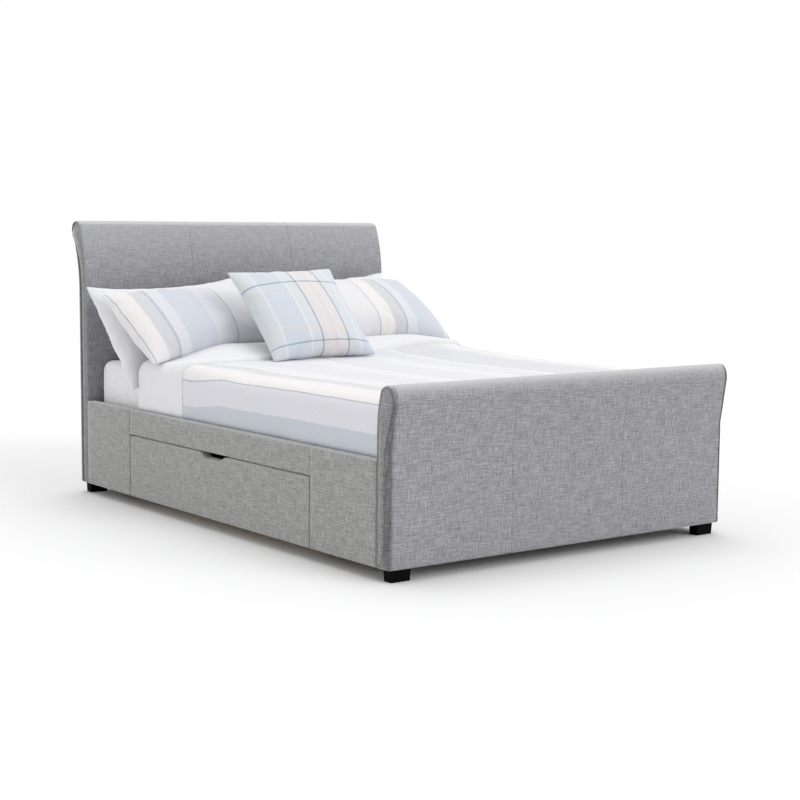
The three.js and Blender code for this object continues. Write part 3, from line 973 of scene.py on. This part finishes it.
def cotton(material, colour):
    """Smooth bed linen: a fine weave, faint creases and a soft sheen."""
    tree = material.node_tree
    fine = weave(tree, 0.9 * MM)
    crease = streaks(tree, 14, 22, 3.0)
    height = math_node(tree, "MULTIPLY_ADD", crease, 6.0, math_node(tree, "MULTIPLY", fine, 0.15))
    return finished(material, {
        "Base Color": colour, "Roughness": 0.85, "Sheen Weight": 0.15, "Sheen Roughness": 0.5,
        "Specular IOR Level": 0.25, "Normal": bumped(tree, height, 0.25, 1 * MM),
    })


def plain_cotton(name, colour, shade):
    material, tree = new_material(name)
    tone = ramp(tree, streaks(tree, 30, 30), [(0.3, shade), (0.7, colour)])
    return cotton(material, tone)


# A colour ramp is stored in 256 steps, so a longer print takes several for its lines to stay sharp.
LONGEST_RAMP = 0.7


def bands(tree, value, start, stripes):
    """Colours by distance: stripes is a list of (width in metres, colour), from start onwards."""
    total = sum(width for width, _ in stripes)
    if total > LONGEST_RAMP:
        half = len(stripes) // 2
        middle = start + sum(width for width, _ in stripes[:half])
        beyond = math_node(tree, "GREATER_THAN", value, middle)
        return blend_colours(tree, beyond, bands(tree, value, start, stripes[:half]),
                             bands(tree, value, middle, stripes[half:]))
    share = math_node(tree, "MULTIPLY", math_node(tree, "SUBTRACT", value, start), 1 / total)
    stops, place = [], 0.0
    for width, colour in stripes:
        stops.append((min(place / total, 1.0), colour))
        place += width
    return ramp(tree, share, stops, "CONSTANT")


def striped_cotton(name, start, stripes):
    """Printed stripes that run up the cloth, the first one from start onwards."""
    material, tree = new_material(name)
    wobble = streaks(tree, 6, 10, 1.0)
    moved = math_node(tree, "MULTIPLY_ADD", wobble, 1.2 * MM, cloth_axis(tree, 0))
    colour = bands(tree, moved, start, stripes)
    threads = streaks(tree, 500, 40, 1.0)
    shade = ramp(tree, threads, [(0.3, grey(0.95)), (0.7, grey(1.0))])
    return cotton(material, blend_colours(tree, 1.0, colour, shade, "MULTIPLY"))


WHITE = srgb(224, 224, 226)
CREAM = srgb(229, 226, 225)
LINE_GREY = srgb(176, 178, 184)
PALE_LAVENDER = srgb(217, 217, 223)
LIGHT_BLUE = srgb(203, 207, 216)
SOFT_GREY = srgb(206, 207, 210)
BLUE_GREY = srgb(184, 191, 202)
DUVET_BLUE = srgb(196, 201, 209)
DUVET_WHITE = srgb(225, 225, 227)
DUVET_TINT = srgb(219, 219, 224)
DUVET_GREY = srgb(213, 213, 217)
TOP_LINE = srgb(200, 200, 205)
DUVET_CREAM = srgb(230, 227, 226)
SKY = srgb(214, 217, 218)
CUSHION_BLUE = srgb(208, 213, 219)
SLATE = srgb(150, 166, 182)
PEACH = srgb(224, 218, 216)

# Both striped pillows are cut from one cloth, at different places in its print.
PILLOW_STRIPES = [
    (0.120, LIGHT_BLUE), (0.097, PALE_LAVENDER), (0.005, LINE_GREY), (0.149, WHITE),
    (0.005, LINE_GREY), (0.072, CREAM), (0.055, SOFT_GREY), (0.013, BLUE_GREY),
    (0.050, PALE_LAVENDER), (0.133, LIGHT_BLUE), (0.097, PALE_LAVENDER), (0.005, LINE_GREY),
    (0.149, WHITE), (0.005, LINE_GREY), (0.072, CREAM), (0.100, SOFT_GREY),
]
PILLOW_PRINT_START = {"left": -0.731, "right": -0.363}

# Across the whole duvet, from the hem on the left side to the hem on the right.
DUVET_STRIPES = [
    (0.250, DUVET_BLUE), (0.090, PALE_LAVENDER), (0.004, LINE_GREY), (0.131, DUVET_CREAM),
    (0.052, DUVET_GREY), (0.010, TOP_LINE), (0.108, DUVET_WHITE), (0.155, DUVET_TINT),
    (0.114, DUVET_WHITE), (0.010, TOP_LINE), (0.164, DUVET_TINT), (0.105, DUVET_WHITE),
    (0.090, DUVET_TINT), (0.052, DUVET_WHITE), (0.010, TOP_LINE), (0.190, DUVET_GREY),
    (0.060, PALE_LAVENDER), (0.087, DUVET_CREAM), (0.004, LINE_GREY), (0.090, PALE_LAVENDER),
    (0.260, DUVET_BLUE),
]
DUVET_PRINT_START = -1.033

# The check's upright bands, from its left edge, and the bands that cross and tint them, from below.
PLAID_UPRIGHT = [
    (0.060, SKY), (0.009, WHITE), (0.110, CUSHION_BLUE), (0.009, WHITE), (0.046, SKY),
    (0.006, SLATE), (0.060, PEACH), (0.004, SOFT_GREY), (0.052, PEACH), (0.006, SLATE),
    (0.055, SKY), (0.009, WHITE), (0.074, CUSHION_BLUE),
]
PALE_TINT = srgb(248, 250, 253)
PEACH_TINT = srgb(254, 249, 246)
SLATE_TINT = srgb(186, 201, 216)
PLAID_LEVEL = [
    (0.050, PALE_TINT), (0.006, SLATE_TINT), (0.050, PALE_TINT), (0.014, PEACH_TINT),
    (0.205, PALE_TINT), (0.014, PEACH_TINT), (0.030, PALE_TINT), (0.007, SLATE_TINT),
    (0.124, PALE_TINT),
]


def plaid_cotton(name):
    """A soft check: pale blue ground, peach bands, white and slate lines, woven both ways."""
    material, tree = new_material(name)
    width, height = CUSHION["cut"]
    upright = bands(tree, cloth_axis(tree, 0), -width / 2, PLAID_UPRIGHT)
    level = bands(tree, cloth_axis(tree, 1), -height / 2, PLAID_LEVEL)
    return cotton(material, blend_colours(tree, 1.0, upright, level, "MULTIPLY"))


# How closely the grain is packed along x, y and z, in timber that runs along one of them.
GRAIN = {"X": (2.0, 40.0, 40.0), "Y": (40.0, 2.0, 40.0), "Z": (40.0, 40.0, 2.0)}


def wood(name, pale, deep, along, rings=9.0):
    """Planed timber: grain along one axis, or along each board of a box standing on edge."""
    material, tree = new_material(name)
    if along == "BOARDS":
        facing = math_node(tree, "ABSOLUTE", component(tree, true_normal(tree), 1))
        turned = tuple(x - y for x, y in zip(GRAIN["X"], GRAIN["Y"]))
        stretch = add(tree, "ShaderNodeVectorMath", {
            0: math_node(tree, "GREATER_THAN", facing, 0.5), 1: turned, 2: GRAIN["Y"],
        }, operation="MULTIPLY_ADD").outputs[0]
    else:
        stretch = GRAIN[along]
    place = scaled(tree, object_coordinates(tree), stretch)
    grain = cloudy(tree, place, Detail=5.0, Distortion=0.8)
    pores = cloudy(tree, place, rings, Detail=2.0)
    value = math_node(tree, "MULTIPLY_ADD", pores, 0.25, grain)
    return finished(material, {
        "Base Color": ramp(tree, value, [(0.45, deep), (0.72, pale)]),
        "Roughness": math_node(tree, "MULTIPLY_ADD", grain, 0.2, 0.5),
        "Normal": bumped(tree, value, 0.25, 0.4 * MM),
    })


def lacquer(name):
    """Black satin lacquer on the feet, with the grain just showing."""
    material, tree = new_material(name)
    grain = cloudy(tree, scaled(tree, object_coordinates(tree), (160, 160, 14)))
    colour = ramp(tree, grain, [(0.3, grey(0.001)), (0.75, (0.004, 0.0035, 0.003, 1))])
    return finished(material, {
        "Base Color": colour, "Specular IOR Level": 0.05,
        "Roughness": math_node(tree, "MULTIPLY_ADD", grain, 0.25, 0.5),
        "Normal": bumped(tree, grain, 0.2, 0.2 * MM),
    })


def zinc(name):
    """Bright zinc plate with a faint crystal pattern."""
    material, tree = new_material(name)
    cells = add(tree, "ShaderNodeTexVoronoi", {"Vector": object_coordinates(tree), "Scale": 120.0})
    colour = ramp(tree, cells.outputs["Color"], [
        (0.2, (0.42, 0.43, 0.45, 1)), (0.8, (0.62, 0.63, 0.65, 1)),
    ])
    return finished(material, {
        "Base Color": colour, "Metallic": 1.0,
        "Roughness": math_node(tree, "MULTIPLY_ADD", cells.outputs["Distance"], 0.25, 0.3),
    })


def moulded_plastic(name):
    material, tree = new_material(name)
    speckle = cloudy(tree, object_coordinates(tree), 900.0, Detail=2.0)
    colour = ramp(tree, speckle, [
        (0.3, (0.010, 0.010, 0.011, 1)), (0.7, (0.028, 0.028, 0.030, 1)),
    ])
    return finished(material, {
        "Base Color": colour, "Roughness": 0.48, "Normal": bumped(tree, speckle, 0.3, 0.1 * MM),
    })


# Each linen's dark, middle and light threads, and the colour it pales towards where it faces up, over a
# roll: painted top light.
LINENS = {
    "linen": ((120, 120, 124), (145, 145, 149), (174, 174, 178), (192, 192, 194)),
    "linen_side": ((122, 122, 121), (148, 148, 147), (176, 176, 175), (172, 172, 171)),
    # The end panel linen below is a darker copy of the same cloth: painted shade.
    "linen_shaded_end": ((108, 108, 109), (135, 135, 136), (162, 162, 163), (150, 150, 151)),
    # The corner strip linen below is darker still: painted shade.
    "linen_shaded_strip": ((84, 84, 85), (108, 108, 109), (134, 134, 135), (176, 176, 177)),
}
TIMBER = (srgb(214, 186, 140), srgb(178, 142, 96))


def make_materials():
    made = {
        key: linen(f"grey_{key}", *(srgb(*tone) for tone in tones)) for key, tones in LINENS.items()
    }
    for side, start in PILLOW_PRINT_START.items():
        key = f"pillow_{side}"
        made[key] = striped_cotton(f"striped_{key}", start, PILLOW_STRIPES)
    return made | {
        "white": plain_cotton("white_cotton", srgb(226, 226, 228), srgb(222, 222, 225)),
        "ticking": plain_cotton("ticking", srgb(236, 236, 234), srgb(224, 224, 223)),
        "duvet": striped_cotton("striped_duvet", DUVET_PRINT_START, DUVET_STRIPES),
        "plaid": plaid_cotton("plaid_cotton"),
        "timber_x": wood("timber_across", *TIMBER, "X"),
        "timber_y": wood("timber_along", *TIMBER, "Y"),
        "timber_z": wood("timber_upright", *TIMBER, "Z"),
        "box": wood("timber_boards", *TIMBER, "BOARDS"),
        "slat": wood("slat_wood", srgb(228, 204, 162), srgb(200, 168, 120), "X", 14.0),
        "lacquer": lacquer("black_lacquer"),
        "zinc": zinc("zinc_plate"),
        "plastic": moulded_plastic("black_plastic"),
    }


MATERIALS = make_materials()


# ---- CAD nodes that stay ----

def dress(node, material, edge=None):
    """Gives a CAD node its finish and, where asked, softly broken edges."""
    piece = bpy.data.objects[node]
    piece.data.materials.clear()
    piece.data.materials.append(MATERIALS[material])
    if edge:
        bevel = piece.modifiers.new("edges", "BEVEL")
        bevel.width = edge
        bevel.segments = 2
        bevel.limit_method = "ANGLE"
        bevel.angle_limit = math.radians(40)


def dress_structure():
    for board in ("headboard_frame", "footboard_frame"):
        dress(board, "timber_x")
    dress("centre_beam", "timber_y", 1.5 * MM)
    for end in ("foot", "head"):
        dress(f"centre_leg_{end}", "timber_z", 2 * MM)
        dress(f"beam_hanger_{end}", "zinc")
        for side in ("left", "right"):
            dress(f"foot_{end}_{side}", "lacquer", 1.5 * MM)
            dress(f"{side}_bracket_{end}", "zinc")
            dress(f"{side}_bearer_{end}", "timber_x", 1 * MM)
            for row in ("outer", "inner"):
                dress(f"{side}_wheel_{row}_{end}", "plastic", 0.8 * MM)
    for side in ("left", "right"):
        dress(f"{side}_rail_board", "timber_y")
        dress(f"{side}_slat_ledger", "timber_y", 1.5 * MM)
        dress(f"{side}_drawer_front_board", "timber_y")
        dress(f"{side}_drawer_box", "box", 1 * MM)
        dress(f"{side}_drawer_base", "slat")
    for number in range(1, 11):
        dress(f"slat_{number:02d}", "slat", 2.5 * MM)


# ---- Studio ----

def soft_sun(name, towards, strength, spread):
    """A far light whose rays run along towards, softened as if its source were spread degrees wide."""
    data = bpy.data.lights.new(name, "SUN")
    data.energy = strength
    data.angle = math.radians(spread)
    light = bpy.data.objects.new(name, data)
    light.rotation_euler = Vector(towards).to_track_quat("-Z", "Y").to_euler()
    SCENE.collection.objects.link(light)


TOWARDS_CAMERA = (-0.6, -0.8, 0.0)


def make_world():
    """White behind the bed; as a light, brightest overhead and dimmest from the camera's side."""
    world = bpy.data.worlds.new("studio")
    SCENE.world = world
    world.use_nodes = True
    tree = world.node_tree
    direction = add(tree, "ShaderNodeTexCoord").outputs["Generated"]
    height = component(tree, direction, 2)
    tone = ramp(tree, height, [(0.0, grey(0.88)), (0.3, grey(0.88)), (1.0, grey(0.86))])
    inputs = {0: direction, 1: TOWARDS_CAMERA}
    facing = add(tree, "ShaderNodeVectorMath", inputs, operation="DOT_PRODUCT").outputs["Value"]
    shade = ramp(tree, facing, [(0.5, grey(1.0)), (1.0, grey(0.1))])
    light = blend_colours(tree, 1.0, tone, shade, "MULTIPLY")
    seen = add(tree, "ShaderNodeLightPath").outputs["Is Camera Ray"]
    set_inputs(tree, tree.nodes["Background"], {
        "Color": blend_colours(tree, seen, light, grey(1.01)), "Strength": 1.0,
    })


def make_floor():
    size = 40.0
    corners = [(-size, -size, 0), (size, -size, 0), (size, size, 0), (-size, size, 0)]
    floor = make_object("floor", corners, [(0, 1, 2, 3)])
    floor.data.materials.append(finished(new_material("pale_floor")[0], {
        "Base Color": grey(0.84), "Roughness": 0.9, "Specular IOR Level": 0.1,
    }))


def make_studio():
    make_world()
    make_floor()
    soft_sun("overhead", (-0.08, -0.22, -1.0), 0.80, 40)
    soft_sun("right_front", (-0.38, 0.88, -0.42), 1.05, 36)
    soft_sun("left_back", (0.90, -0.30, -0.30), 0.50, 40)


# ---- Build ----

def main():
    make_camera()
    make_studio()
    dress_structure()
    sleigh_board("headboard_upholstery", HEADBOARD, HEAD_FACE, 1)
    sleigh_board("footboard_upholstery", FOOTBOARD, FOOT_FACE, -1)
    for side_name, side in (("left", -1), ("right", 1)):
        rail_panels(side_name, side)
        drawer_front(side_name, side)
    mattress()
    duvet()
    turn_down()
    pillows()
    SCENE.view_settings.view_transform = "Standard"


main()
